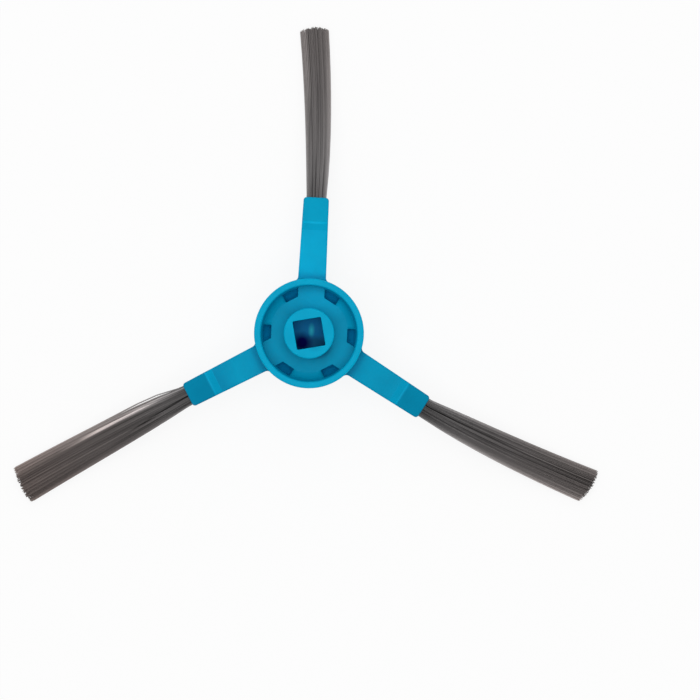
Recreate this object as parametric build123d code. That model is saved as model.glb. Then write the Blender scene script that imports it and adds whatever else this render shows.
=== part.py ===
from build123d import *
import math
import os

# Side brush of a robot vacuum cleaner, in millimetres and degrees.
# The spin axis is Z. The origin is the centre of the drive socket's mouth, on top of the boss.
# The drive side looks up, and the first arm points along +Y.

# Hub cup
hub_radius = 14.5
rim_width = 1.85
rim_drop = 0.6
rim_round = 0.45
cup_depth = 5.8
cove_radius = 2.3

# Boss with the square drive socket
boss_radius = 6.7
boss_round = 0.3
socket_side = 7.6
socket_corner = 0.35
socket_depth = 8.2
socket_turn = 12.5

# Domed floor side of the hub
floor_thickness = 4.0
dome_width = 4.3
dome_rise = 2.7
dome_round = 0.9
crest_round = 0.8
dish_bevel = 2.3
dish_depth = 0.35
round_chords = 2

# Pockets in the cup's floor, one on each side of the tab that leads to every arm
tab_width = 7.0
pocket_reach = 1.75
pocket_length = 2.3
pocket_ledge = 0.3
pocket_skin = 1.1

# Arms
first_arm_angle = 90.0
arm_width = 7.4
arm_end_width = 6.7
arm_thickness = 2.8
arm_length = 13.0
arm_droop = 9.0
arm_edge_bevel = 0.35
arm_root_overlap = 4.0
flare_radius = 1.3
flare_drop = 0.4
flare_thickness = 1.4
skirt_gap = 0.8
skirt_gap_length = 2.0
skirt_shoulder = 0.8
shoulder_share = 0.6

# Ferrules at the arms' ends
ramp_length = 2.0
ramp_height = 1.0
ferrule_length = 7.25
ferrule_droop = 19.0
ferrule_corner = 0.9
ferrule_wall = 0.7
ferrule_socket_depth = 5.2
ferrule_lip_setback = 2.2

# Bristle tufts, with one value for each arm where they differ
tuft_reach = 11.6
tuft_length = (47.0, 52.4, 50.6)
tuft_lean = (3.5, 1.4, 7.3)
tuft_bow = (-0.7, -0.45, -0.6)
tuft_tip_width = (8.0, 10.7, 9.9)
tuft_spring = (0.3, 0.55, 0.4)
tuft_spring_power = 4
tuft_crown = 0.7
tuft_tip_thickness = 3.4
tuft_clearance = 0.05
tuft_block_length = 2.4
lock_columns = 12
lock_rows = 4
lock_stagger = 0.25
lock_fill = 0.82
lock_stations = 3
lock_spacing = 1.4
lock_raggedness = 1.4
lock_lengths = 7
lock_length_steps = (5, 3)

edge_tolerance = 0.001

# Levels and radii that follow from the sizes above
rim_top = -rim_drop
cup_floor = rim_top - cup_depth
crest_level = cup_floor - floor_thickness
skirt_bottom = crest_level + dome_rise
cup_radius = hub_radius - rim_width
plateau_radius = hub_radius - dome_width
dish_radius = plateau_radius - dish_bevel
arm_count = len(tuft_length)
arm_step = 360.0 / arm_count
arm_angles = [first_arm_angle + arm_step * i for i in range(arm_count)]
ferrule_thickness = arm_thickness + ramp_height
ferrule_socket_width = arm_end_width - 2 * ferrule_wall
ferrule_socket_height = ferrule_thickness - 2 * ferrule_wall

# Side view of one arm lying along +X: the top of the ferrule starts here and runs out and down
arm_slope = math.tan(math.radians(arm_droop))
ramp_start_radius = hub_radius + arm_length
ferrule_start_radius = ramp_start_radius + ramp_length
ferrule_start_level = cup_floor - (arm_length + ramp_length) * arm_slope + ramp_height
ferrule_out = Vector(1, 0, 0).rotate(Axis.Y, ferrule_droop)
ferrule_up = Vector(0, 0, 1).rotate(Axis.Y, ferrule_droop)
ferrule_top_start = Vector(ferrule_start_radius, 0, ferrule_start_level)

# Middle of the ferrule's open end: X points out of it, Y across it and Z up
ferrule_mouth = Plane(
    origin=ferrule_top_start + ferrule_out * ferrule_length - ferrule_up * (ferrule_thickness / 2),
    x_dir=ferrule_out,
    z_dir=ferrule_up,
)


def eased(before, corner, after, radius):
    """Points of an outline's corner, eased by a few chords of the tangent arc."""
    corner = Vector(*corner)
    back = (Vector(*before) - corner).normalized()
    ahead = (Vector(*after) - corner).normalized()
    half = math.radians(back.get_angle(ahead)) / 2
    centre = corner + (back + ahead).normalized() * (radius / math.sin(half))
    spoke = corner + back * (radius / math.tan(half)) - centre
    turn = math.copysign(180 - 2 * math.degrees(half), ahead.cross(back).Z)
    return [centre + spoke.rotate(Axis.Z, turn * i / round_chords) for i in range(round_chords + 1)]


def hub_section():
    """Half section of the hub, right of the spin axis: each corner has its place and its radius."""
    outline = [
        ((0, 0), 0),
        ((boss_radius, 0), boss_round),
        ((boss_radius, cup_floor), 0),
        ((cup_radius, cup_floor), cove_radius),
        ((cup_radius, rim_top), rim_round),
        ((hub_radius, rim_top), rim_round),
        ((hub_radius, skirt_bottom), dome_round),
        ((plateau_radius, crest_level), crest_round),
        ((dish_radius, crest_level + dish_depth), 0),
        ((0, crest_level + dish_depth), 0),
    ]
    points = []
    for i, (corner, radius) in enumerate(outline):
        if radius:
            after = outline[(i + 1) % len(outline)][0]
            points += eased(outline[i - 1][0], corner, after, radius)
        else:
            points.append(Vector(*corner))
    return Plane.XZ * make_face(Polyline(*points, close=True))


def below_dome(offset):
    """Everything under the dome's cone after it is raised by an offset, for cutting."""
    slope = dome_rise / dome_width
    outer = hub_radius + rim_width
    low = crest_level - hub_radius
    section = make_face(
        Polyline(
            (0, low),
            (outer, low),
            (outer, crest_level + offset + (outer - plateau_radius) * slope),
            (plateau_radius, crest_level + offset),
            (0, crest_level + offset),
            close=True,
        )
    )
    return revolve(Plane.XZ * section, Axis.Z)


def tab_strips():
    """Strips from the axis to the hub's wall, one along every arm."""
    strip = Rectangle(hub_radius, tab_width, align=(Align.MIN, Align.CENTER))
    return Sketch() + [Rot(0, 0, angle) * strip for angle in arm_angles]


def floor_pockets():
    """Blind pockets beside the arms, with a skin of even thickness left over the dome."""
    outer = cup_radius - pocket_ledge
    pockets = [
        Rot(0, 0, angle + side * arm_step / 4)
        * Pos(outer - pocket_length, side * pocket_reach)
        * Rectangle(hub_radius, tab_width, align=(Align.MIN, Align.MAX if side > 0 else Align.MIN))
        for angle in arm_angles
        for side in (-1, 1)
    ]
    outline = (Sketch() + pockets - tab_strips()) & Circle(outer)
    block = Pos(0, 0, crest_level) * extrude(outline, cup_floor + cove_radius - crest_level)
    return block - below_dome(pocket_skin)


def arm_tabs():
    """Clears the cove over the arms' roots, so that each arm runs flat on to the cup's floor."""
    outline = tab_strips() & Circle(cup_radius) - Circle(boss_radius)
    return Pos(0, 0, cup_floor) * extrude(outline, cove_radius)


def skirt_notches():
    """Gaps in the hub's skirt on both sides of each arm, with rounded shoulders."""
    slot_width = arm_width + 2 * skirt_gap
    inner = hub_radius - skirt_gap_length
    slot = Pos(inner, 0) * Rectangle(hub_radius, slot_width, align=(Align.MIN, Align.CENTER))
    slots = Sketch() + [Rot(0, 0, angle) * slot for angle in arm_angles]
    skirt = extrude(Circle(hub_radius) - slots, floor_thickness)
    side_length = math.sqrt(hub_radius**2 - (slot_width / 2) ** 2) - inner
    shoulders = [
        edge
        for edge in skirt.edges().filter_by(Axis.Z)
        if math.hypot(edge.center().X, edge.center().Y) > hub_radius - edge_tolerance
    ]
    skirt = fillet(shoulders, min(skirt_shoulder, shoulder_share * side_length))
    ring = extrude(Circle(hub_radius + rim_width), floor_thickness) - skirt
    return Pos(0, 0, crest_level) * ring


def root_flares():
    """Thin webs that spread the root of one arm along +X into the hub's wall, with hollow corners."""
    centre_across = arm_width / 2 + flare_radius
    centre_out = math.sqrt((hub_radius + flare_radius) ** 2 - centre_across**2)
    centre = Vector(centre_out, centre_across)
    outline = make_face(
        Polyline(
            (hub_radius - arm_root_overlap, 0),
            (centre_out, 0),
            centre,
            centre * (hub_radius / (hub_radius + flare_radius)),
            close=True,
        )
    )
    outline -= Pos(*centre) * Circle(flare_radius)
    flare = Pos(0, 0, cup_floor - flare_drop) * extrude(outline, -flare_thickness)
    return [flare, mirror(flare, Plane.XZ)]


def arm_half_width(radius):
    """Half the width of an arm, which narrows evenly from the hub's wall to the ferrule's end."""
    end_radius = ferrule_top_start.X + ferrule_out.X * ferrule_length
    share = (radius - hub_radius) / (end_radius - hub_radius)
    return (arm_width + (arm_end_width - arm_width) * share) / 2


def on_side_wall(edge):
    """Tells the edges round both side walls of an arm along +X from the rest."""
    middle = edge.center()
    return abs(abs(middle.Y) - arm_half_width(middle.X)) < edge_tolerance


def runs_outwards(edge):
    """Tells the long edges of an arm along +X from the short upright ones."""
    size = edge.bounding_box().size
    return size.X > size.Z


def arm_with_ferrule():
    """One arm along +X: a strip that droops and narrows, a ramp, and the ferrule with its open socket."""
    bottom = Vector(0, 0, -arm_thickness)
    root = Vector(hub_radius - arm_root_overlap, 0, cup_floor)
    shoulder = Vector(hub_radius, 0, cup_floor)
    ramp_start = Vector(ramp_start_radius, 0, cup_floor - arm_length * arm_slope)
    ferrule_top_end = ferrule_top_start + ferrule_out * ferrule_length
    through = ferrule_up * -ferrule_thickness
    side_view = [
        root,
        shoulder,
        ramp_start,
        ferrule_top_start,
        ferrule_top_end,
        ferrule_top_end + through,
        ferrule_top_start + through,
        shoulder + bottom,
        root + bottom,
    ]
    beyond = ferrule_top_end.X + ferrule_length
    root_half, far_half = arm_half_width(0), arm_half_width(beyond)
    from_above = [(0, -root_half), (beyond, -far_half), (beyond, far_half), (0, root_half)]
    arm = extrude(make_face(Polyline(*side_view, close=True)), arm_width, dir=(0, 1, 0), both=True)
    arm &= extrude(make_face(Polyline(*from_above, close=True)), beyond, both=True)
    end_corners = arm.edges().filter_by(on_side_wall).sort_by(Axis((0, 0, 0), ferrule_out))[-2:]
    arm = fillet(end_corners, ferrule_corner)
    long_edges = arm.edges().filter_by(on_side_wall).filter_by(runs_outwards)
    arm = chamfer(long_edges, arm_edge_bevel)
    socket = Pos(-ferrule_socket_depth, 0, 0) * Box(
        ferrule_length,
        ferrule_socket_width,
        ferrule_socket_height,
        align=(Align.MIN, Align.CENTER, Align.CENTER),
    )
    open_floor = Pos(-ferrule_lip_setback, 0, 0) * Box(
        ferrule_length,
        ferrule_socket_width,
        ferrule_thickness,
        align=(Align.MIN, Align.CENTER, Align.MAX),
    )
    arm = arm - ferrule_mouth * socket - ferrule_mouth * open_floor
    return arm + root_flares()


def brush_body():
    """Hub cup, boss and arms, moulded as one piece."""
    body = revolve(hub_section(), Axis.Z)
    body -= arm_tabs()
    body -= skirt_notches()
    arm = arm_with_ferrule()
    body += [Rot(0, 0, angle) * arm for angle in arm_angles]
    body -= floor_pockets()
    outline = Rot(0, 0, socket_turn) * fillet(Rectangle(socket_side, socket_side).vertices(), socket_corner)
    return body - extrude(outline, -socket_depth)


def bristle_lock(number, column, row):
    """One lock of bristles: its strip seen from above, crossed with its strip seen from the side."""
    across = column - (lock_columns - 1) / 2 + (lock_stagger if row % 2 else -lock_stagger)
    up = row - (lock_rows - 1) / 2
    length = tuft_length[number]
    lean = math.tan(math.radians(tuft_lean[number]))
    tip_level = (crest_level - tuft_reach - ferrule_mouth.origin.Z) / ferrule_up.Z
    sag = tip_level + length * math.tan(math.radians(ferrule_droop))
    root_width = ferrule_socket_width - 2 * tuft_clearance
    root_thickness = ferrule_socket_height - 2 * tuft_clearance
    step_across, step_up = lock_length_steps
    shorter = lock_raggedness * ((step_across * column + step_up * row) % lock_lengths) / lock_lengths
    shorter += tuft_crown * (2 * across / lock_columns) ** 2
    shares = [(i / lock_stations) ** lock_spacing for i in range(lock_stations + 1)]
    distances = [tuft_block_length / 2 - ferrule_socket_depth]
    distances += [(length - shorter) * share for share in shares]
    left, right, under, over = [], [], [], []
    for distance in distances:
        share = max(distance, 0) / length
        spring = tuft_spring[number]
        fan = spring * (1 - (1 - share) ** tuft_spring_power) + (1 - spring) * share
        width = root_width + (tuft_tip_width[number] - root_width) * fan
        thickness = root_thickness + (tuft_tip_thickness - root_thickness) * fan
        pitch_across = width / (lock_columns + 2 * lock_stagger)
        pitch_up = thickness / lock_rows
        middle = share * length * lean + tuft_bow[number] * 4 * share * (1 - share) + across * pitch_across
        level = share**2 * sag + up * pitch_up
        left.append((distance, middle + lock_fill * pitch_across / 2))
        right.append((distance, middle - lock_fill * pitch_across / 2))
        under.append((distance, level - lock_fill * pitch_up / 2))
        over.append((distance, level + lock_fill * pitch_up / 2))
    from_above = make_face(Polyline(*right, *reversed(left), close=True))
    from_side = Plane.XZ * make_face(Polyline(*under, *reversed(over), close=True))
    return (extrude(from_above, length, both=True) & extrude(from_side, length, both=True)).solid()


def bristle_tuft(number):
    """Tuft for one arm: a fused root block seated in the ferrule, and its locks of bristles."""
    block = Pos(-ferrule_socket_depth + tuft_clearance, 0, 0) * Box(
        tuft_block_length,
        ferrule_socket_width - 2 * tuft_clearance,
        ferrule_socket_height - 2 * tuft_clearance,
        align=(Align.MIN, Align.CENTER, Align.CENTER),
    )
    locks = [
        bristle_lock(number, column, row) for column in range(lock_columns) for row in range(lock_rows)
    ]
    tuft = block.solid().fuse(Compound(children=locks))
    return Rot(0, 0, arm_angles[number]) * (ferrule_mouth * tuft)


def main():
    os.makedirs("parts", exist_ok=True)
    export_step(brush_body(), "parts/brush_body.step")
    for number in range(arm_count):
        export_step(bristle_tuft(number), f"parts/bristle_tuft_{number + 1}.step")


main()
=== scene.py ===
import bmesh
import bpy
import math
import random
from mathutils import Matrix, Vector, noise


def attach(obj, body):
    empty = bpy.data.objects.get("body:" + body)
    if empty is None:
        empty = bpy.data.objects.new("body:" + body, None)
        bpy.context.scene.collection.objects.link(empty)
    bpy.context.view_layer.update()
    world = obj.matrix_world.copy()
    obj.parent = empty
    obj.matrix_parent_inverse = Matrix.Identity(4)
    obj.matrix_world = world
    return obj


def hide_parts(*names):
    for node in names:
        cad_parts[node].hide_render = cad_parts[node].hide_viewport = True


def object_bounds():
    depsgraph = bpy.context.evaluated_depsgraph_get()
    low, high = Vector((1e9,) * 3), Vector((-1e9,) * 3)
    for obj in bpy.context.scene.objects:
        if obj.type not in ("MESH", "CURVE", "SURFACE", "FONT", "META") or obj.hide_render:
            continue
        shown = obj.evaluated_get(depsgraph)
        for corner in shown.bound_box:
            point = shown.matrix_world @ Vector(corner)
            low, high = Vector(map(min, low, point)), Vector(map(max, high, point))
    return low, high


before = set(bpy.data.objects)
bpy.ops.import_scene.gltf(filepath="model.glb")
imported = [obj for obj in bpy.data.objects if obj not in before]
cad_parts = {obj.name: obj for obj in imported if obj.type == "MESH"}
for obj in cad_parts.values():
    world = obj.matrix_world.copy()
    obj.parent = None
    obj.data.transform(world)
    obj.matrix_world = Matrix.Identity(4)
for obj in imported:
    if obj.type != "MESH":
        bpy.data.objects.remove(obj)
cad_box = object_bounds()

# Metres throughout, in the part's own frame.
# The spin axis is Z and the first arm points along +Y.
MM = 0.001

# Camera: it looks straight down, turned about the view's axis, over a point beside the hub
CAMERA_HEIGHT = 1200 * MM
CAMERA_OVER = (11.04 * MM, -3.81 * MM)
CAMERA_ROLL = math.radians(3)
FIELD_WIDTH = 184.5 * MM
SENSOR_WIDTH = 36.0
CLIP_END = 10.0

# Moulded body
MERGE_DISTANCE = 0.0005 * MM
FLAT_ANGLE = math.radians(0.3)
SHARP_ANGLE = math.radians(28)
TOP_EDGES_ABOVE = -1.2 * MM
TOP_ROUND = 0.14 * MM
TOP_SEGMENTS = 2
CREST_ROUND = 0.45 * MM
CREST_SEGMENTS = 3
LARGE_FACE = 3 * MM**2
LEVEL = 0.9
FACE_BORDER = 0.08 * MM
ABOVE_SKIRT_GAPS = -6.2 * MM
SMOOTH_ANGLE = math.radians(35)

# Rim of the hub: painted shade along its inner edge, where it falls away into the cup, and a
# painted highlight along its outer edge
RIM_WITHIN = 12.0 * MM
RIM_INNER_LINE = (12.75 * MM, 13.15 * MM)
RIM_OUTER_LINE = (14.0 * MM, 14.4 * MM)

# Recesses, arms and ferrules of the body, with painted shade in the recesses and painted light and
# shade on the arms and ferrules
CUP_WITHIN = 12.8 * MM
CUP_FLOOR = -6.4 * MM
POCKET_DEPTH = 1.2 * MM
SOCKET_WITHIN = 6.2 * MM
SOCKET_DEPTH = 8.2 * MM
ARM_START = 14.6 * MM
ROOT_LINE = (15.1 * MM, 16.3 * MM)
HOLLOW_LINE = (21.5 * MM, 26.2 * MM)
RAMP_FOOT = 27.5 * MM
RAMP_CREST = 29.5 * MM

# Which way a face looks, how near counts as the same place, and how much rounded edges stand out
FACING_UP = 0.3
FACING_DOWN = -0.5
SAME_PLACE = 0.02 * MM
EDGE_CONTRAST = 0.8

# A painted pool of light on the cup's floor by the first arm. A core is the share of a patch that
# is full.
LIT_FLOOR_PLACE = (1.8 * MM, 9.0 * MM, CUP_FLOOR)
LIT_FLOOR_SIZE = (10.5 * MM, 6.0 * MM, 2.0 * MM)
LIT_FLOOR_CORE = 0.2

# Marks on the socket's floor: a dark navy patch in one corner, a painted shadow beside it and a
# painted glint
DARK_PATCH_PLACE = (-1.8 * MM, -2.5 * MM, -SOCKET_DEPTH)
DARK_PATCH_SIZE = (3.2 * MM, 3.2 * MM, 9.0 * MM)
DARK_PATCH_CORE = 0.35
SOCKET_SHADOW_PLACE = (1.6 * MM, -3.6 * MM, -SOCKET_DEPTH)
SOCKET_SHADOW_SIZE = (5.0 * MM, 3.4 * MM, 9.0 * MM)
SOCKET_SHADOW_CORE = 0.6
GLINT_PLACE = (0.55 * MM, 0.9 * MM, -SOCKET_DEPTH)
GLINT_SIZE = (1.0 * MM, 2.2 * MM, 1.0 * MM)
GLINT_CORE = 0.0

# Ferrules, as seats of the tufts
ARM_ANGLES = (90, 210, 330)
MOUTH_RADIUS = 35.74 * MM
MOUTH_LEVEL = -11.93 * MM
FERRULE_DROOP = math.radians(19)
SEAT_DEPTH = 5.15 * MM
PLUG_LENGTH = 2.4 * MM
PLUG_BEVEL = 0.2 * MM
PLUG_SEGMENTS = 2
ROOT_WIDTH = 5.2 * MM
ROOT_THICKNESS = 2.2 * MM

# Bristles: each starts as a rod of unit length, in a staggered row of the tuft
ROD_LENGTH = 1.0
BRISTLE_RADIUS = 0.1 * MM
BRISTLE_SIDES = 5
BRISTLE_CUTS = 8
BRISTLE_COLUMNS = 34
BRISTLE_ROWS = 9
STAGGER = 0.25
ACROSS_SPREAD = 0.25
UP_SPREAD = 0.4
TIP_THICKNESS = 3.0 * MM
TIP_ABOVE_FLOOR = 1.6 * MM
TIP_LEVEL = cad_box[0].z + TIP_ABOVE_FLOOR
EDGE_THINNING = 0.55
SPRING_POWER = 4
CROWN = 0.6 * MM
LENGTH_SPREAD = 0.9 * MM
STRAY = 0.14 * MM

# Each tuft's own hang: lean and bow in the plane of the sweep, its spread at the tip, and how much
# of the spread comes at once as it springs out of the ferrule. Skew is how its cut end slants.
# Tone is its grey, and warmth how far it turns brown towards its tips.
# Contrast is how far its bristles differ in tone at their roots, and calm how much of that is lost
# towards their tips. Loose is how far its outermost bristles stand off near their roots.
# A streak has its place across the tuft (from -1 to 1), its slant, half its width, the shares of
# the length where it starts and ends, and its change of tone. Dark streaks are grooves with painted
# shade in them, and the two brightest streaks of the second tuft are painted highlights.
TUFTS = (
    {
        "length": 46.8 * MM, "lean": 3.7, "bow": -0.75 * MM, "tip_width": 7.8 * MM, "spring": 0.45,
        "tone": 0.158, "warmth": 0.38, "skew": -0.35 * MM, "contrast": 2.6, "calm": 0.95,
        "loose": 0.0,
        "streaks_with_shade_and_highlights": (
            (-0.60, 0.10, 0.10, -1.0, 0.28, -0.05),
            (-0.24, 0.10, 0.08, -1.0, 0.16, -0.04),
            (0.14, 0.10, 0.09, -1.0, 0.30, -0.07),
            (0.44, 0.15, 0.10, -1.0, 0.62, -0.07),
            (0.00, 0.00, 0.10, -1.0, 0.34, 0.05),
            (-0.33, 0.00, 0.10, -1.0, 0.30, 0.03),
            (-0.05, 0.00, 0.12, 0.42, 0.72, -0.03),
            (0.70, 0.00, 0.20, 0.55, 2.0, 0.12),
            (-0.90, 0.00, 0.30, -1.0, 0.90, 0.06),
            (0.00, 0.00, 1.50, 0.20, 0.62, 0.014),
        ),
    },
    {
        "length": 52.2 * MM, "lean": 1.4, "bow": -0.35 * MM, "tip_width": 10.5 * MM, "spring": 0.45,
        "tone": 0.115, "warmth": 1.0, "skew": 0.0, "contrast": 1.6, "calm": 0.2,
        "loose": 0.65 * MM,
        "streaks_with_shade_and_highlights": (
            # The first two streaks are painted highlights along the upper side
            (-0.86, 0.15, 0.07, -1.0, 0.34, 0.26),
            (-0.76, 0.24, 0.09, 0.14, 0.66, 0.86),
            (-0.78, 0.00, 0.36, 0.05, 2.0, 0.11),
            (0.02, 1.00, 0.08, -1.0, 0.42, -0.12),
            (0.47, 0.00, 0.10, -1.0, 0.20, -0.03),
            (0.76, 0.00, 0.12, -1.0, 0.18, -0.035),
            (0.58, 0.00, 0.10, 0.10, 0.50, -0.03),
            (0.50, 0.00, 0.30, -1.0, 0.90, -0.01),
            (0.78, 0.00, 0.18, -1.0, 2.0, -0.03),
            (-0.15, 0.00, 1.20, 0.45, 2.0, 0.018),
        ),
    },
    {
        "length": 50.4 * MM, "lean": 7.3, "bow": -0.75 * MM, "tip_width": 9.7 * MM, "spring": 0.4,
        "tone": 0.090, "warmth": 0.55, "skew": 0.0, "contrast": 2.2, "calm": 0.3,
        "loose": 0.0,
        "streaks_with_shade_and_highlights": (
            (0.27, 0.20, 0.09, -1.0, 0.58, -0.10),
            (-0.22, 0.12, 0.10, -1.0, 0.55, -0.022),
            (0.15, 0.00, 0.20, 0.50, 2.0, -0.015),
            (0.10, 0.00, 1.50, 0.40, 2.0, 0.010),
            (0.20, 0.00, 1.10, -1.0, 0.14, -0.016),
            (0.56, -0.10, 0.09, -1.0, 0.30, 0.05),
            (0.92, 0.00, 0.16, -1.0, 0.55, 0.09),
            (-0.60, 0.00, 0.50, 0.12, 2.0, 0.042),
            (-0.95, 0.00, 0.22, 0.10, 2.0, 0.14),
        ),
    },
)

# Loose bristles: each outer column's share of the gap, and where and how soon the gap closes
LOOSE_COLUMNS = (1.0, 0.35)
LOOSE_POWER = 8
LOOSE_PEAK = 2 / (LOOSE_POWER + 2)

# Tones of the bristles: streaks with painted highlights and painted groove shade, clumps, the
# ferrule's painted shade on the roots, and painted light through the thin sides
STREAK_FADE = 0.12
GROOVE_RELIEF = 5.0 * MM
TONE_SPREAD = 0.02
CLUMP_TONE = 0.05
CLUMPS_ACROSS = 12.0
CLUMPS_ALONG = 1.5
ROOT_SHADE = 0.28
ROOT_SHADE_END = 0.16
EDGE_TONE = 0.14
EDGE_START = 0.6
EDGE_POWER = 1.5
LEAST_TONE = 0.008

# Colours, linear
BLUE_DEEP = (0.0, 0.350, 0.570, 1)
BLUE_BRIGHT = (0.0, 0.386, 0.622, 1)
PLAIN_TINT = Vector((1.0, 1.0, 1.0))
# Painted light and shade on the arms: the first arm lighter and the others darker as a whole, and
# painted shade at their roots
ARM_LIGHT_AND_SHADE = (Vector((1.0, 1.06, 1.07)), Vector((1.0, 0.84, 0.86)), Vector((1.0, 0.80, 0.82)))
ROOT_SHADOW_TINT = Vector((1.0, 0.80, 0.85))
# Painted shade on the rim's inner edge and a painted highlight on its outer edge
RIM_INNER_SHADE = Vector((1.0, 0.78, 0.82))
RIM_OUTER_HIGHLIGHT = Vector((1.0, 1.08, 1.06))
# Painted shade in the hollows before the ramps and on the ferrules, painted shade on the first ramp
# and painted light on the other two
HOLLOW_SHADE_TINTS = (Vector((1.0, 0.93, 0.95)), Vector((1.0, 0.83, 0.88)), Vector((1.0, 0.97, 0.98)))
RAMP_LIGHT_AND_SHADE = (Vector((1.0, 0.92, 0.92)), Vector((1.0, 1.07, 1.07)), Vector((1.0, 1.04, 1.04)))
FERRULE_SHADE_TINTS = (Vector((1.0, 0.88, 0.88)), Vector((1.0, 0.75, 0.79)), Vector((1.0, 0.79, 0.82)))
# Painted shade on the cup's floor
FLOOR_SHADE_TINT = Vector((1.0, 0.82, 0.81))
# Painted light on the cup's floor by the first arm
LIT_FLOOR_BLUE = (0.0, 0.400, 0.640, 1)
# Painted shade in the pockets and down the socket
POCKET_SHADE_TINT = Vector((1.0, 0.50, 0.61))
SOCKET_SHADE_TINT = Vector((1.0, 0.39, 0.57))
# A dark navy patch in one corner of the socket's floor
DARK_PATCH_NAVY = (0.003, 0.003, 0.075, 1)
# Painted shadow over the lower part of the socket's floor
SOCKET_SHADOW_TEAL = (0.0, 0.080, 0.185, 1)
# Painted glint on the socket's floor
GLINT_TEAL = (0.020, 0.440, 0.540, 1)
BRISTLE_BLACK = (0.0, 0.0, 0.0, 1)
ROOT_TINT = (1.0, 0.965, 0.970, 1)
TIP_TINT = (1.0, 0.800, 0.735, 1)
PAPER_WHITE = (0.93, 0.93, 0.93, 1)
STUDIO_WHITE = (1.0, 1.0, 1.0, 1)

# Finish of the moulded plastic: clouds of colour, patches of gloss and a fine grain
CLOUD_SCALE = 140
CLOUD_RANGE = (0.35, 0.65)
BLUE_GLOSS_SCALE = 900
BLUE_ROUGHNESS = (0.36, 0.5)
BLUE_SPECULAR = 0.04
GRAIN_SCALE = 5200
GRAIN_STRENGTH = 0.15

# Finish of the bristles: patches of gloss and fine scuffs
NYLON_GLOSS_SCALE = 700
NYLON_ROUGHNESS = (0.34, 0.5)
NYLON_SPECULAR = 0.3
SCUFF_SCALE = 6000
SCUFF_STRENGTH = 0.2

# Both finishes
GLOSS_RANGE = (0.3, 0.7)
PATCH_DETAIL = 3.0
GRAIN_DETAIL = 2.0
GRAIN_HEIGHT = 0.02 * MM

# Light and floor
AMBIENT = 0.38
SOFTBOXES = (
    {"name": "overhead", "place": (-0.05, -0.05, 1.7), "size": 1.6, "power": 18.0},
    {"name": "window", "place": (0.0, 0.9, 1.0), "size": 0.7, "power": 2.0},
)
FLOOR_GLOW = 0.86
FLOOR_REACH = 2.0


def new_material(name):
    """A material with an empty node tree, its shader and its output."""
    material = bpy.data.materials.new(name)
    material.use_nodes = True
    tree = material.node_tree
    tree.nodes.clear()
    output = tree.nodes.new("ShaderNodeOutputMaterial")
    shader = tree.nodes.new("ShaderNodeBsdfPrincipled")
    tree.links.new(shader.outputs["BSDF"], output.inputs["Surface"])
    return material, tree, shader


def attribute(tree, name):
    """A value that the mesh carries at its vertices."""
    node = tree.nodes.new("ShaderNodeAttribute")
    node.attribute_name = name
    return node.outputs["Fac"]


def noise_value(tree, place, scale, detail):
    """Noise on the given coordinates, as a value from 0 to 1."""
    texture = tree.nodes.new("ShaderNodeTexNoise")
    texture.inputs["Scale"].default_value = scale
    texture.inputs["Detail"].default_value = detail
    tree.links.new(place, texture.inputs["Vector"])
    return texture.outputs["Fac"]


def remapped(tree, value, low, high, new_low, new_high):
    """A value stretched from one range to another and held inside it."""
    node = tree.nodes.new("ShaderNodeMapRange")
    node.inputs["From Min"].default_value = low
    node.inputs["From Max"].default_value = high
    node.inputs["To Min"].default_value = new_low
    node.inputs["To Max"].default_value = new_high
    tree.links.new(value, node.inputs["Value"])
    return node.outputs["Result"]


def mixed_colour(tree, share, first, second):
    """A colour between two others, each a constant or the result of another node."""
    node = tree.nodes.new("ShaderNodeMix")
    node.data_type = "RGBA"
    for socket, colour in ((node.inputs["A"], first), (node.inputs["B"], second)):
        if isinstance(colour, tuple):
            socket.default_value = colour
        else:
            tree.links.new(colour, socket)
    tree.links.new(share, node.inputs["Factor"])
    return node.outputs["Result"]


def tinted(tree, colour):
    """A colour times the tint that the mesh carries at the corners of its faces, which holds
    painted light and shade.
    """
    tint = tree.nodes.new("ShaderNodeAttribute")
    tint.attribute_name = "tint"
    node = tree.nodes.new("ShaderNodeMix")
    node.data_type = "RGBA"
    node.blend_type = "MULTIPLY"
    node.inputs["Factor"].default_value = 1
    tree.links.new(colour, node.inputs["A"])
    tree.links.new(tint.outputs["Color"], node.inputs["B"])
    return node.outputs["Result"]


def spot(tree, place, centre, size, core):
    """A soft oval spot: 1 within its core, 0 from its rim outwards."""
    local = tree.nodes.new("ShaderNodeMapping")
    local.vector_type = "TEXTURE"
    local.inputs["Location"].default_value = centre
    local.inputs["Scale"].default_value = size
    tree.links.new(place, local.inputs["Vector"])
    reach = tree.nodes.new("ShaderNodeVectorMath")
    reach.operation = "LENGTH"
    tree.links.new(local.outputs["Vector"], reach.inputs[0])
    return remapped(tree, reach.outputs["Value"], core, 1, 1, 0)


def bumped(tree, height, strength):
    """A normal that follows the height of a fine grain."""
    node = tree.nodes.new("ShaderNodeBump")
    node.inputs["Strength"].default_value = strength
    node.inputs["Distance"].default_value = GRAIN_HEIGHT
    tree.links.new(height, node.inputs["Height"])
    return node.outputs["Normal"]


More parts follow.
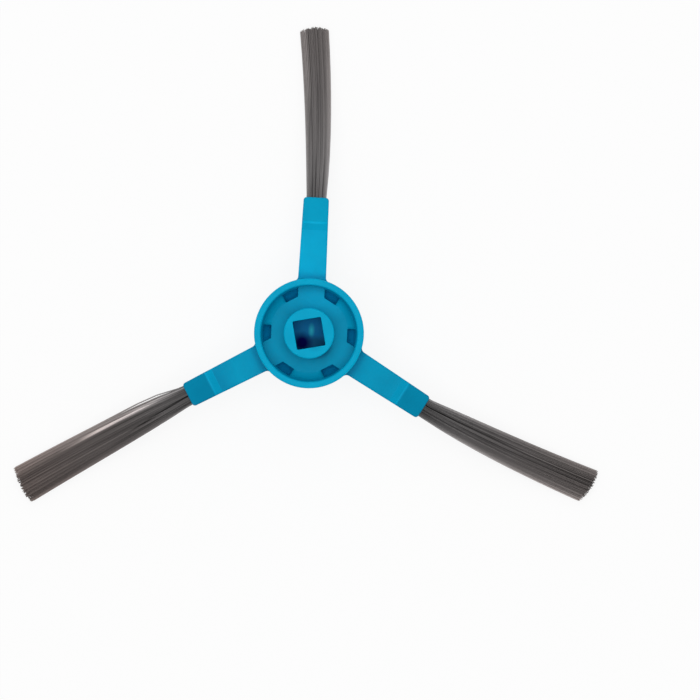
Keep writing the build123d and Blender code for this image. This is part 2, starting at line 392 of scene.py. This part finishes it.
def moulded_blue():
    """Blue moulded plastic: faint clouds of colour and a fine grain, with painted shade in its
    recesses and painted light and shade on its arms and rim, a painted pool of light on the cup's
    floor, a painted glint and a painted shadow in the socket, and a dark navy patch in the socket's
    corner.
    """
    material, tree, shader = new_material("moulded_blue")
    place = tree.nodes.new("ShaderNodeTexCoord").outputs["Object"]
    clouds = noise_value(tree, place, CLOUD_SCALE, PATCH_DETAIL)
    clouds = remapped(tree, clouds, *CLOUD_RANGE, 0, 1)
    colour = tinted(tree, mixed_colour(tree, clouds, BLUE_DEEP, BLUE_BRIGHT))
    # A painted pool of light on the cup's floor by the first arm
    floor_light = spot(tree, place, LIT_FLOOR_PLACE, LIT_FLOOR_SIZE, LIT_FLOOR_CORE)
    colour = mixed_colour(tree, floor_light, colour, LIT_FLOOR_BLUE)
    # A painted glint on the socket's floor
    glint = spot(tree, place, GLINT_PLACE, GLINT_SIZE, GLINT_CORE)
    colour = mixed_colour(tree, glint, colour, GLINT_TEAL)
    # A painted shadow over the lower part of the socket's floor
    socket_shadow = spot(tree, place, SOCKET_SHADOW_PLACE, SOCKET_SHADOW_SIZE, SOCKET_SHADOW_CORE)
    colour = mixed_colour(tree, socket_shadow, colour, SOCKET_SHADOW_TEAL)
    # A dark navy patch in one corner of the socket's floor
    dark_patch = spot(tree, place, DARK_PATCH_PLACE, DARK_PATCH_SIZE, DARK_PATCH_CORE)
    colour = mixed_colour(tree, dark_patch, colour, DARK_PATCH_NAVY)
    tree.links.new(colour, shader.inputs["Base Color"])
    gloss = noise_value(tree, place, BLUE_GLOSS_SCALE, PATCH_DETAIL)
    gloss = remapped(tree, gloss, *GLOSS_RANGE, *BLUE_ROUGHNESS)
    tree.links.new(gloss, shader.inputs["Roughness"])
    grain = noise_value(tree, place, GRAIN_SCALE, GRAIN_DETAIL)
    tree.links.new(bumped(tree, grain, GRAIN_STRENGTH), shader.inputs["Normal"])
    # No specular shine on the dark navy patch
    shine = remapped(tree, dark_patch, 0, 1, BLUE_SPECULAR, 0)
    tree.links.new(shine, shader.inputs["Specular IOR Level"])
    return material


def nylon_bristle():
    """Grey nylon: every bristle has its own tone, with painted highlights and painted shade in it,
    and turns warmer towards its tip.
    """
    material, tree, shader = new_material("nylon_bristle")
    place = tree.nodes.new("ShaderNodeTexCoord").outputs["Object"]
    tint = mixed_colour(tree, attribute(tree, "warmth"), ROOT_TINT, TIP_TINT)
    grey = mixed_colour(tree, attribute(tree, "tone"), BRISTLE_BLACK, tint)
    tree.links.new(grey, shader.inputs["Base Color"])
    gloss = noise_value(tree, place, NYLON_GLOSS_SCALE, PATCH_DETAIL)
    gloss = remapped(tree, gloss, *GLOSS_RANGE, *NYLON_ROUGHNESS)
    tree.links.new(gloss, shader.inputs["Roughness"])
    scuffs = noise_value(tree, place, SCUFF_SCALE, GRAIN_DETAIL)
    tree.links.new(bumped(tree, scuffs, SCUFF_STRENGTH), shader.inputs["Normal"])
    shader.inputs["Specular IOR Level"].default_value = NYLON_SPECULAR
    return material


def new_piece(name, bm, material, node):
    """Makes a piece of the object from a bmesh, riding on the part in a CAD node's place."""
    mesh = bpy.data.meshes.new(name)
    bm.to_mesh(mesh)
    bm.free()
    mesh.shade_smooth()
    mesh.set_sharp_from_angle(angle=SMOOTH_ANGLE)
    mesh.materials.append(material)
    piece = bpy.data.objects.new(name, mesh)
    bpy.context.scene.collection.objects.link(piece)
    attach(piece, "root")
    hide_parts(node)


def outwards(number):
    """The way an arm points, seen from above."""
    angle = math.radians(ARM_ANGLES[number])
    return Vector((math.cos(angle), math.sin(angle), 0))


def part_way(along, line):
    """How far a place is from the first of two distances to the second, from 0 to 1."""
    return min(1, max(0, (along - line[0]) / (line[1] - line[0])))


def along_arm(place):
    """How far out a place is along the arm that it is on, and that arm's number."""
    return max((place.dot(outwards(number)), number) for number in range(len(ARM_ANGLES)))


def arm_tint(place, normal):
    """The painted light and shade on an arm: its own over the whole arm, painted shade at its root
    and before its ramp, then more of its own on the ramp and ferrule.
    """
    along, number = along_arm(place)
    tint = ARM_LIGHT_AND_SHADE[number]
    # Painted shade on the ferrule, then painted light and shade on the ramp
    if along > RAMP_CREST - SAME_PLACE:
        return tint * FERRULE_SHADE_TINTS[number]
    if normal.z < FACING_UP:
        return tint
    if along > RAMP_FOOT - SAME_PLACE:
        return tint * RAMP_LIGHT_AND_SHADE[number]
    # Painted shade at the arm's root and in the hollow before its ramp
    tint = tint * ROOT_SHADOW_TINT.lerp(PLAIN_TINT, part_way(along, ROOT_LINE))
    return tint * PLAIN_TINT.lerp(HOLLOW_SHADE_TINTS[number], part_way(along, HOLLOW_LINE))


def rim_tint(radius):
    """The painted shade along the rim's inner edge and the painted highlight along its outer one.
    """
    tint = RIM_INNER_SHADE.lerp(PLAIN_TINT, part_way(radius, RIM_INNER_LINE))
    return tint * PLAIN_TINT.lerp(RIM_OUTER_HIGHLIGHT, part_way(radius, RIM_OUTER_LINE))


def body_tint(place, face):
    """The tint at a corner of one of the body's faces, for each of red, green and blue: painted
    light and shade on the arms and rim, painted shade in the cup, pockets and socket.
    """
    radius = place.xy.length
    if max(vert.co.xy.length for vert in face.verts) > ARM_START:
        return arm_tint(place, face.normal)
    if radius > RIM_WITHIN and place.z > TOP_EDGES_ABOVE and face.normal.z > FACING_UP:
        return rim_tint(radius)
    if radius > CUP_WITHIN or face.normal.z < FACING_DOWN:
        return PLAIN_TINT
    # Painted shade down the socket, over the cup's floor and deeper in the pockets
    if radius < SOCKET_WITHIN:
        return PLAIN_TINT.lerp(SOCKET_SHADE_TINT, part_way(place.z, (0, -SOCKET_DEPTH)))
    tint = PLAIN_TINT.lerp(FLOOR_SHADE_TINT, part_way(place.z, (0, CUP_FLOOR)))
    return tint.lerp(POCKET_SHADE_TINT, part_way(CUP_FLOOR - place.z, (0, POCKET_DEPTH)))


def edge_tint(vert):
    """Rounded edges catch the light and inner corners lose it."""
    slopes = [(edge.other_vert(vert).co - vert.co).normalized() for edge in vert.link_edges]
    return 1 - EDGE_CONTRAST * sum(slope.dot(vert.normal) for slope in slopes) / len(slopes)


def on_top(edge):
    """Whether an edge is on the hub's rim, on the boss or round the socket's mouth."""
    return min(vert.co.z for vert in edge.verts) > TOP_EDGES_ABOVE


def on_crest(edge):
    """Whether an edge lies across an arm, where its ramp meets its ferrule."""
    near = all(abs(along_arm(vert.co)[0] - RAMP_CREST) < SAME_PLACE for vert in edge.verts)
    return near and all(face.normal.z > FACING_UP for face in edge.link_faces)


def rounded_edges(bm, chosen, offset, segments):
    """Rounds the sharp edges of one kind, and gives the new faces."""
    shared = [edge for edge in bm.edges if edge.is_manifold]
    sharp = [edge for edge in shared if edge.calc_face_angle() > SHARP_ANGLE]
    rounded = bmesh.ops.bevel(
        bm,
        geom=[edge for edge in sharp if chosen(edge)],
        offset=offset,
        offset_type="OFFSET",
        segments=segments,
        profile=0.5,
        affect="EDGES",
        clamp_overlap=True,
        material=-1,
    )
    return rounded["faces"]


def cut_along(bm, place, normal):
    """Cuts all faces along a plane, so that shading and tints can change there."""
    everything = bm.verts[:] + bm.edges[:] + bm.faces[:]
    bmesh.ops.bisect_plane(bm, geom=everything, plane_co=place, plane_no=normal)


def moulded_body(material):
    """The moulded hub and arms, with their upper edges rounded as a mould leaves them."""
    bm = bmesh.new()
    layer = bm.loops.layers.float_color.new("tint")
    bm.from_mesh(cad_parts["brush_body"].data)
    bmesh.ops.remove_doubles(bm, verts=bm.verts, dist=MERGE_DISTANCE)
    bmesh.ops.dissolve_limit(bm, angle_limit=FLAT_ANGLE, verts=bm.verts, edges=bm.edges)
    on_edge = set(rounded_edges(bm, on_top, TOP_ROUND, TOP_SEGMENTS))
    on_edge.update(rounded_edges(bm, on_crest, CREST_ROUND, CREST_SEGMENTS))
    # A narrow border keeps the shading of wide level faces flat
    level = [face for face in bm.faces if face.normal.z > LEVEL and face.calc_area() > LARGE_FACE]
    bmesh.ops.inset_individual(bm, faces=level, thickness=FACE_BORDER, use_even_offset=True)
    # Cuts across the arms where their tints change, and round the hub above its skirt's gaps
    for number in range(len(ARM_ANGLES)):
        for line in (*ROOT_LINE, *HOLLOW_LINE):
            cut_along(bm, outwards(number) * line, outwards(number))
    cut_along(bm, Vector((0, 0, ABOVE_SKIRT_GAPS)), Vector((0, 0, 1)))
    bm.normal_update()
    for face in bm.faces:
        for corner in face.loops:
            tint = body_tint(corner.vert.co, face)
            if all(beside in on_edge for beside in corner.vert.link_faces):
                tint = tint * edge_tint(corner.vert)
            corner[layer] = (*tint, 1)
    new_piece("moulded_body", bm, material, "brush_body")


def bristle_rod():
    """One straight bristle of unit length and radius, cut into short runs so that it can bend."""
    bm = bmesh.new()
    bmesh.ops.create_cone(
        bm, cap_ends=True, segments=BRISTLE_SIDES, radius1=1, radius2=1, depth=ROD_LENGTH
    )
    rises = {edge: abs(edge.verts[0].co.z - edge.verts[1].co.z) for edge in bm.edges}
    long_edges = [edge for edge, rise in rises.items() if rise > ROD_LENGTH / 2]
    bmesh.ops.subdivide_edges(bm, edges=long_edges, cuts=BRISTLE_CUTS)
    bmesh.ops.translate(bm, verts=bm.verts, vec=(0, 0, ROD_LENGTH / 2))
    rod = bpy.data.meshes.new("bristle_rod")
    bm.to_mesh(rod)
    bm.free()
    return rod


def tuft_frame(number):
    """The ferrule's mouth: X points out of it, Y across it and Z up."""
    turn = Matrix.Rotation(math.radians(ARM_ANGLES[number]), 4, "Z")
    mouth = Matrix.Translation((MOUTH_RADIUS, 0, MOUTH_LEVEL))
    return turn @ (mouth @ Matrix.Rotation(FERRULE_DROOP, 4, "Y"))


def root_plug():
    """The block that holds the bristles' roots, deep in the ferrule."""
    bm = bmesh.new()
    bmesh.ops.create_cube(bm, size=1)
    bmesh.ops.scale(bm, vec=(PLUG_LENGTH, ROOT_WIDTH, ROOT_THICKNESS), verts=bm.verts)
    bmesh.ops.translate(bm, vec=(PLUG_LENGTH / 2 - SEAT_DEPTH, 0, 0), verts=bm.verts)
    bmesh.ops.bevel(
        bm,
        geom=bm.edges[:],
        offset=PLUG_BEVEL,
        segments=PLUG_SEGMENTS,
        profile=0.5,
        affect="EDGES",
        material=-1,
    )
    plug = bpy.data.meshes.new("root_plug")
    bm.to_mesh(plug)
    bm.free()
    return plug


def spread(tuft, share):
    """How far the tuft has fanned out: fast as it springs out of the ferrule, then evenly."""
    sprung = 1 - (1 - share) ** SPRING_POWER
    return tuft["spring"] * sprung + (1 - tuft["spring"]) * share


def streak_change(tuft, across, share):
    """How much lighter or darker the tuft's streaks make a bristle here, with painted shade in
    grooves and painted highlights.
    """
    change = 0
    for place, slant, half_width, begin, end, tone in tuft["streaks_with_shade_and_highlights"]:
        beside = (across - place - slant * share) / half_width
        run = min(share - begin, end - share) / STREAK_FADE
        change += tone * max(0, 1 - beside**2) * max(0, min(1, run))
    return change


def edge_tone(across):
    """The thin sides of a tuft let light through."""
    return EDGE_TONE * max(0, (abs(across) - EDGE_START) / (1 - EDGE_START)) ** EDGE_POWER


def root_shade(share):
    """The ferrule shades the roots."""
    return 1 - ROOT_SHADE * max(0, 1 - share / ROOT_SHADE_END)


def bristle_tone(number, bristle, share, change):
    """How pale a bristle is along its length, with its streaks and what sets it apart."""
    tuft = TUFTS[number]
    clump = noise.noise((bristle["across"] * CLUMPS_ACROSS, share * CLUMPS_ALONG, number))
    own_tone = bristle["own_tone"] + CLUMP_TONE * clump
    own_tone *= tuft["contrast"] * (1 - tuft["calm"] * share)
    return max(LEAST_TONE, (bristle["tone"] + change + own_tone) * root_shade(share))


def loose_bow(share):
    """How far a loose bristle stands off: most near its root, and not at all at its ends."""
    return (share / LOOSE_PEAK) ** 2 * ((1 - share) / (1 - LOOSE_PEAK)) ** LOOSE_POWER


def bristle_middle(tuft, bristle, along, change):
    """Where a bristle runs at a distance from the mouth."""
    across, up, stray = bristle["across"], bristle["up"], bristle["stray"]
    share = max(along, 0) / tuft["length"]
    fan = spread(tuft, share)
    width = ROOT_WIDTH + (tuft["tip_width"] - ROOT_WIDTH) * fan - 2 * BRISTLE_RADIUS
    thickness = ROOT_THICKNESS + (TIP_THICKNESS - ROOT_THICKNESS) * fan - 2 * BRISTLE_RADIUS
    slope = math.tan(FERRULE_DROOP)
    sag = (TIP_LEVEL - MOUTH_LEVEL) / math.cos(FERRULE_DROOP) + tuft["length"] * slope
    sideways = tuft["length"] * share * math.tan(math.radians(tuft["lean"]))
    sideways += tuft["bow"] * 4 * share * (1 - share)
    sideways += across * width / 2 + stray.x * share
    sideways -= bristle["loose"] * loose_bow(share)
    level = share**2 * sag + up * thickness / 2 * (1 - EDGE_THINNING * fan * across**2)
    level += GROOVE_RELIEF * min(change, 0) * max(up, 0) + stray.y * share
    return Vector((along, sideways, level))


def new_bristle(tuft, draw, column, row):
    """A bristle's place across and up the tuft, from -1 to 1, with its own length and tone."""
    stagger = STAGGER if row % 2 else -STAGGER
    across = column + 0.5 + stagger + draw.uniform(-ACROSS_SPREAD, ACROSS_SPREAD)
    across = max(-1, min(1, across / BRISTLE_COLUMNS * 2 - 1))
    up = (row + 0.5 + draw.uniform(-UP_SPREAD, UP_SPREAD)) / BRISTLE_ROWS * 2 - 1
    end = tuft["length"] + tuft["skew"] * across - CROWN * across**2
    return {
        "across": across,
        "up": up,
        "end": end - LENGTH_SPREAD * draw.random() ** 2,
        "tone": tuft["tone"] + edge_tone(across),
        "own_tone": draw.uniform(-TONE_SPREAD, TONE_SPREAD),
        "stray": Vector((draw.uniform(-STRAY, STRAY), draw.uniform(-STRAY, STRAY))),
        "loose": tuft["loose"] * LOOSE_COLUMNS[column] if column < len(LOOSE_COLUMNS) else 0,
    }


def bristle_tuft(number, plug, rod, material):
    """A tuft of single bristles that fan out of their ferrule, with the plug round their roots."""
    tuft = TUFTS[number]
    draw = random.Random(number + 1)
    placed = tuft_frame(number)
    bm = bmesh.new()
    tone_layer = bm.verts.layers.float.new("tone")
    warmth_layer = bm.verts.layers.float.new("warmth")
    bm.from_mesh(plug)
    bmesh.ops.transform(bm, matrix=placed, verts=bm.verts)
    start = PLUG_LENGTH / 2 - SEAT_DEPTH
    for column in range(BRISTLE_COLUMNS):
        for row in range(BRISTLE_ROWS):
            bristle = new_bristle(tuft, draw, column, row)
            first = len(bm.verts)
            bm.from_mesh(rod)
            bm.verts.ensure_lookup_table()
            for vert in bm.verts[first:]:
                along = start + (bristle["end"] - start) * vert.co.z
                share = max(along, 0) / tuft["length"]
                change = streak_change(tuft, bristle["across"], share)
                ring = Vector((0, vert.co.x, vert.co.y)) * BRISTLE_RADIUS
                vert.co = placed @ (bristle_middle(tuft, bristle, along, change) + ring)
                vert[tone_layer] = bristle_tone(number, bristle, share, change)
                vert[warmth_layer] = tuft["warmth"] * share
    node = f"bristle_tuft_{number + 1}"
    new_piece(f"bristles_{number + 1}", bm, material, node)


def seen_directly(tree, share):
    """A share for rays from the camera, mirrors and glass, and 0 for all other light."""
    path = tree.nodes.new("ShaderNodeLightPath")
    total = path.outputs["Is Camera Ray"]
    for name in ("Is Glossy Ray", "Is Transmission Ray"):
        either = tree.nodes.new("ShaderNodeMath")
        either.operation = "MAXIMUM"
        tree.links.new(total, either.inputs[0])
        tree.links.new(path.outputs[name], either.inputs[1])
        total = either.outputs["Value"]
    return remapped(tree, total, 0, 1, 0, share)


def pale_floor():
    """A plain floor under the tips: white to the eye, with a soft shadow left on it."""
    bm = bmesh.new()
    bmesh.ops.create_grid(bm, x_segments=1, y_segments=1, size=FLOOR_REACH)
    bmesh.ops.translate(bm, verts=bm.verts, vec=(0, 0, cad_box[0].z))
    mesh = bpy.data.meshes.new("floor")
    bm.to_mesh(mesh)
    bm.free()
    floor = bpy.data.objects.new("floor", mesh)
    bpy.context.scene.collection.objects.link(floor)
    material, tree, shader = new_material("paper_white")
    shader.inputs["Base Color"].default_value = PAPER_WHITE
    shader.inputs["Roughness"].default_value = 1
    shader.inputs["Specular IOR Level"].default_value = 0
    glow = tree.nodes.new("ShaderNodeEmission")
    mix = tree.nodes.new("ShaderNodeMixShader")
    output = tree.nodes["Material Output"]
    tree.links.new(seen_directly(tree, FLOOR_GLOW), mix.inputs["Fac"])
    tree.links.new(shader.outputs["BSDF"], mix.inputs[1])
    tree.links.new(glow.outputs["Emission"], mix.inputs[2])
    tree.links.new(mix.outputs["Shader"], output.inputs["Surface"])
    mesh.materials.append(material)


def studio_light():
    """Soft light from all round, a wide softbox overhead and a smaller one by the first arm."""
    world = bpy.data.worlds.new("studio")
    world.use_nodes = True
    bpy.context.scene.world = world
    tree = world.node_tree
    background = tree.nodes["Background"]
    background.inputs["Color"].default_value = STUDIO_WHITE
    seen = seen_directly(tree, 1)
    tree.links.new(remapped(tree, seen, 0, 1, AMBIENT, 1), background.inputs["Strength"])
    for softbox in SOFTBOXES:
        lamp = bpy.data.lights.new(softbox["name"], "AREA")
        lamp.energy = softbox["power"]
        lamp.size = softbox["size"]
        stand = bpy.data.objects.new(softbox["name"], lamp)
        stand.location = softbox["place"]
        stand.rotation_mode = "QUATERNION"
        stand.rotation_quaternion = Vector(softbox["place"]).to_track_quat("Z", "Y")
        bpy.context.scene.collection.objects.link(stand)


def overhead_camera():
    """The camera straight above, far enough for nearly parallel lines of sight."""
    lens = bpy.data.cameras.new("overhead")
    lens.sensor_width = SENSOR_WIDTH
    lens.lens = SENSOR_WIDTH * CAMERA_HEIGHT / FIELD_WIDTH
    lens.clip_end = CLIP_END
    camera = bpy.data.objects.new("overhead", lens)
    camera.location = (*CAMERA_OVER, CAMERA_HEIGHT)
    camera.rotation_euler = (0, 0, CAMERA_ROLL)
    bpy.context.scene.collection.objects.link(camera)
    bpy.context.scene.camera = camera


bpy.context.scene.view_settings.view_transform = "Standard"
overhead_camera()
studio_light()
pale_floor()
moulded_body(moulded_blue())
plug = root_plug()
rod = bristle_rod()
bristle_material = nylon_bristle()
for number in range(len(TUFTS)):
    bristle_tuft(number, plug, rod, bristle_material)
